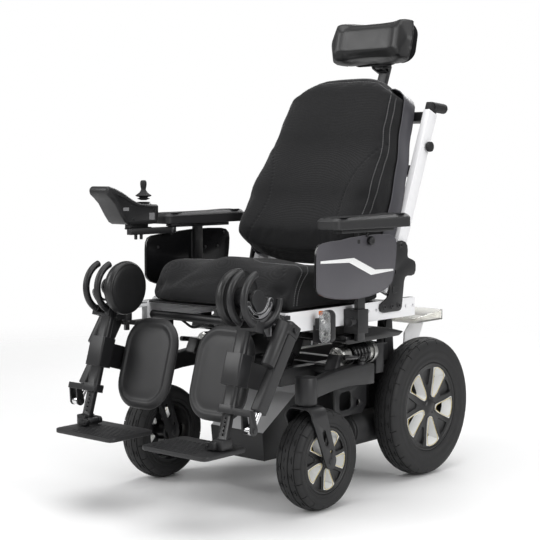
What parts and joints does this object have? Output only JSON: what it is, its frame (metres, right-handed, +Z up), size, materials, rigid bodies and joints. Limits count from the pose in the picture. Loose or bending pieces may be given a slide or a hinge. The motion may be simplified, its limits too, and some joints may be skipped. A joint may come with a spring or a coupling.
{
  "type": "power wheelchair",
  "caption": "Powered wheelchair with tilting seat, reclining padded back, headrest, lifting legrests, joystick control and sprung front casters.",
  "frame": {"origin": "on the floor, under the middle of the chair's overall length and width", "axes": "-Y is the way the chair faces, +X is the user's left, +Z is up"},
  "size_m": [0.601, 0.9869, 1.1743],
  "materials": {
    "black_coat": "satin powder coat",
    "white_coat": "satin powder coat",
    "anthracite": "fine grained",
    "box_silver": "silver-grey face on a black shell",
    "cell_case": "sealed case, density of a lead battery",
    "tyre_rubber": "matt",
    "rim_black": "black with white inserts",
    "knit": "spacer knit",
    "soft_black": "smooth coated",
    "pad_foam": "integral foam skin",
    "shell_grey": "satin",
    "bright_steel": "bright",
    "lens": "clear",
    "clear_tray": "clear acrylic",
    "cable_black": "matt sheath",
    "button_green": "moulded",
    "handle_black": "matt grip"
  },
  "bodies": {
    "base": {"chassis_frame": "black_coat", "battery_box": "box_silver", "batteries": "cell_case", "side_shrouds": "anthracite", "drive_motors": "black_coat", "suspension_springs": "bright_steel", "rear_tray": "clear_tray"},
    "seat": {"seat_frame": "white_coat", "rail_brackets": "black_coat", "seat_cushion": "knit", "front_lights": "lens", "cables": "cable_black"},
    "tilt_actuator": {"tilt_actuator_body": "anthracite"},
    "tilt_screw": {"tilt_actuator_rod": "bright_steel"},
    "back": {"back_frame": "white_coat", "back_shell": "shell_grey", "back_cushion": "knit", "push_handles": "handle_black"},
    "headrest_post": {"headrest_post": "black_coat"},
    "headrest": {"headrest_pad": "soft_black"},
    "controller": {"controller_arm": "black_coat", "controller_housing": "anthracite"},
    "gimbal": {"joystick_gimbal": "bright_steel"},
    "stick": {"joystick": "handle_black"},
    "button": {"power_button": "button_green"},
    "swing_arm_left": {"swing_arm_left": "black_coat"},
    "lever_left": {"release_lever_left": "handle_black"},
    "fork_left": {"caster_fork_left": "black_coat"},
    "caster_wheel_left": {"caster_rim_left": "rim_black", "caster_tyre_left": "tyre_rubber"},
    "drive_wheel_left": {"drive_rim_left": "rim_black", "drive_tyre_left": "tyre_rubber"},
    "arm_left": {"arm_frame_left": "anthracite", "arm_pad_left": "pad_foam"},
    "hanger_left": {"legrest_hanger_left": "black_coat"},
    "leg_left": {"leg_tube_left": "black_coat", "knee_pad_left": "soft_black"},
    "calf_left": {"calf_pad_left": "pad_foam"},
    "foot_left": {"foot_tube_left": "black_coat"},
    "plate_left": {"footplate_left": "anthracite"},
    "leg_actuator_left": {"leg_actuator_body_left": "anthracite"},
    "leg_screw_left": {"leg_actuator_rod_left": "bright_steel"},
    "swing_arm_right": {"swing_arm_right": "black_coat"},
    "lever_right": {"release_lever_right": "handle_black"},
    "fork_right": {"caster_fork_right": "black_coat"},
    "caster_wheel_right": {"caster_rim_right": "rim_black", "caster_tyre_right": "tyre_rubber"},
    "drive_wheel_right": {"drive_rim_right": "rim_black", "drive_tyre_right": "tyre_rubber"},
    "arm_right": {"arm_frame_right": "anthracite", "arm_pad_right": "pad_foam"},
    "hanger_right": {"legrest_hanger_right": "black_coat"},
    "leg_right": {"leg_tube_right": "black_coat", "knee_pad_right": "soft_black"},
    "calf_right": {"calf_pad_right": "pad_foam"},
    "foot_right": {"foot_tube_right": "black_coat"},
    "plate_right": {"footplate_right": "anthracite"},
    "leg_actuator_right": {"leg_actuator_body_right": "anthracite"},
    "leg_screw_right": {"leg_actuator_rod_right": "bright_steel"}
  },
  "joints": [
    {"name": "seat_tilt", "type": "hinge", "parent": "base", "child": "seat", "pos_m": [0, 0.25, 0.388], "axis": [-1, 0, 0], "range_deg": [0, 20]},
    {"name": "tilt_actuator_hinge", "type": "hinge", "parent": "seat", "child": "tilt_actuator", "pos_m": [0, 0.02, 0.392], "axis": [1, 0, 0], "range_deg": [0, 33.37]},
    {"name": "tilt_screw_slide", "type": "slide", "parent": "tilt_actuator", "child": "tilt_screw", "axis": [0, -0.5057, -0.8627], "range_m": [0, 0.0835]},
    {"name": "back_recline", "type": "hinge", "parent": "seat", "child": "back", "pos_m": [0, 0.183, 0.481], "axis": [-1, 0, 0], "range_deg": [0, 25]},
    {"name": "headrest_height", "type": "slide", "parent": "back", "child": "headrest_post", "axis": [0, 0.3746, 0.9272], "range_m": [-0.03, 0.07]},
    {"name": "headrest_angle", "type": "hinge", "parent": "headrest_post", "child": "headrest", "pos_m": [0, 0.43938, 1.0515], "axis": [1, 0, 0], "range_deg": [-15, 15]},
    {"name": "suspension_left", "type": "hinge", "parent": "base", "child": "swing_arm_left", "pos_m": [0.24, 0.04, 0.29], "axis": [-1, 0, 0], "range_deg": [0, 6], "stiffness_Nm_per_rad": 900, "springref_deg": -11.46, "deforming": ["suspension_springs"]},
    {"name": "release_left", "type": "hinge", "parent": "swing_arm_left", "child": "lever_left", "pos_m": [0.255, 0.024, 0.33], "axis": [0, 0, 1], "range_deg": [0, 60]},
    {"name": "caster_swivel_left", "type": "hinge", "parent": "swing_arm_left", "child": "fork_left", "pos_m": [0.25, -0.175, 0.24], "axis": [0, 0, 1], "continuous": true},
    {"name": "caster_spin_left", "type": "hinge", "parent": "fork_left", "child": "caster_wheel_left", "pos_m": [0.25, -0.135, 0.117], "axis": [1, 0, 0], "continuous": true},
    {"name": "drive_spin_left", "type": "hinge", "parent": "base", "child": "drive_wheel_left", "pos_m": [0.228, 0.317, 0.175], "axis": [1, 0, 0], "continuous": true},
    {"name": "arm_height_left", "type": "slide", "parent": "seat", "child": "arm_left", "axis": [0, 0, 1], "range_m": [0, 0.045]},
    {"name": "legrest_swing_left", "type": "hinge", "parent": "seat", "child": "hanger_left", "pos_m": [0.242, -0.262, 0.425], "axis": [0, 0, 1], "range_deg": [0, 60]},
    {"name": "leg_lift_left", "type": "hinge", "parent": "hanger_left", "child": "leg_left", "pos_m": [0.217, -0.325, 0.495], "axis": [-1, 0, 0], "range_deg": [0, 45]},
    {"name": "leg_actuator_hinge_left", "type": "hinge", "parent": "hanger_left", "child": "leg_actuator_left", "pos_m": [0.275, -0.262, 0.425], "axis": [-1, 0, 0], "range_deg": [0, 46.73]},
    {"name": "leg_screw_slide_left", "type": "slide", "parent": "leg_actuator_left", "child": "leg_screw_left", "axis": [0, -0.5479, -0.8365], "range_m": [0, 0.0799]},
    {"name": "calf_pad_left", "type": "hinge", "parent": "leg_left", "child": "calf_left", "pos_m": [0.117, -0.27345, 0.30887], "axis": [1, 0, 0], "range_deg": [-10, 10]},
    {"name": "foot_height_left", "type": "slide", "parent": "leg_left", "child": "foot_left", "axis": [0, -0.2823, -0.9593], "range_m": [0, 0.06]},
    {"name": "footplate_flip_left", "type": "hinge", "parent": "foot_left", "child": "plate_left", "pos_m": [0.196, -0.4159, 0.1891], "axis": [0, 1, 0], "range_deg": [0, 90]},
    {"name": "suspension_right", "type": "hinge", "parent": "base", "child": "swing_arm_right", "pos_m": [-0.24, 0.04, 0.29], "axis": [-1, 0, 0], "range_deg": [0, 6], "stiffness_Nm_per_rad": 900, "springref_deg": -11.46, "deforming": ["suspension_springs"]},
    {"name": "release_right", "type": "hinge", "parent": "swing_arm_right", "child": "lever_right", "pos_m": [-0.255, 0.024, 0.33], "axis": [0, 0, -1], "range_deg": [0, 60]},
    {"name": "caster_swivel_right", "type": "hinge", "parent": "swing_arm_right", "child": "fork_right", "pos_m": [-0.25, -0.175, 0.24], "axis": [0, 0, 1], "continuous": true},
    {"name": "caster_spin_right", "type": "hinge", "parent": "fork_right", "child": "caster_wheel_right", "pos_m": [-0.25, -0.135, 0.117], "axis": [1, 0, 0], "continuous": true},
    {"name": "drive_spin_right", "type": "hinge", "parent": "base", "child": "drive_wheel_right", "pos_m": [-0.228, 0.317, 0.175], "axis": [1, 0, 0], "continuous": true},
    {"name": "arm_height_right", "type": "slide", "parent": "seat", "child": "arm_right", "axis": [0, 0, 1], "range_m": [0, 0.045]},
    {"name": "legrest_swing_right", "type": "hinge", "parent": "seat", "child": "hanger_right", "pos_m": [-0.242, -0.262, 0.425], "axis": [0, 0, -1], "range_deg": [0, 60]},
    {"name": "leg_lift_right", "type": "hinge", "parent": "hanger_right", "child": "leg_right", "pos_m": [-0.217, -0.325, 0.495], "axis": [-1, 0, 0], "range_deg": [0, 45]},
    {"name": "leg_actuator_hinge_right", "type": "hinge", "parent": "hanger_right", "child": "leg_actuator_right", "pos_m": [-0.275, -0.262, 0.425], "axis": [-1, 0, 0], "range_deg": [0, 46.73]},
    {"name": "leg_screw_slide_right", "type": "slide", "parent": "leg_actuator_right", "child": "leg_screw_right", "axis": [0, -0.5479, -0.8365], "range_m": [0, 0.0799]},
    {"name": "calf_pad_right", "type": "hinge", "parent": "leg_right", "child": "calf_right", "pos_m": [-0.117, -0.27345, 0.30887], "axis": [1, 0, 0], "range_deg": [-10, 10]},
    {"name": "foot_height_right", "type": "slide", "parent": "leg_right", "child": "foot_right", "axis": [0, -0.2823, -0.9593], "range_m": [0, 0.06]},
    {"name": "footplate_flip_right", "type": "hinge", "parent": "foot_right", "child": "plate_right", "pos_m": [-0.196, -0.4159, 0.1891], "axis": [0, -1, 0], "range_deg": [0, 90]},
    {"name": "controller_swing", "type": "hinge", "parent": "arm_right", "child": "controller", "pos_m": [-0.25, -0.098, 0.622], "axis": [0, 0, -1], "range_deg": [0, 90]},
    {"name": "joystick_pitch", "type": "hinge", "parent": "controller", "child": "gimbal", "pos_m": [-0.268, -0.178, 0.68], "axis": [1, 0, 0], "range_deg": [-18, 18], "stiffness_Nm_per_rad": 0.6},
    {"name": "joystick_roll", "type": "hinge", "parent": "gimbal", "child": "stick", "pos_m": [-0.268, -0.178, 0.68], "axis": [0, 1, 0], "range_deg": [-18, 18], "stiffness_Nm_per_rad": 0.6},
    {"name": "power_button_press", "type": "slide", "parent": "controller", "child": "button", "axis": [0, -0.4741, -0.8805], "range_m": [0, 0.002], "stiffness_N_per_m": 400}
  ],
  "couplings": [
    {"joint": "tilt_actuator_hinge", "follows": "seat_tilt", "ratio": 1.4509},
    {"joint": "tilt_screw_slide", "follows": "seat_tilt", "m_per_rad": 0.21755},
    {"joint": "leg_actuator_hinge_left", "follows": "leg_lift_left", "ratio": 0.98908},
    {"joint": "leg_screw_slide_left", "follows": "leg_lift_left", "m_per_rad": 0.092429},
    {"joint": "leg_actuator_hinge_right", "follows": "leg_lift_right", "ratio": 0.98908},
    {"joint": "leg_screw_slide_right", "follows": "leg_lift_right", "m_per_rad": 0.092429}
  ]
}
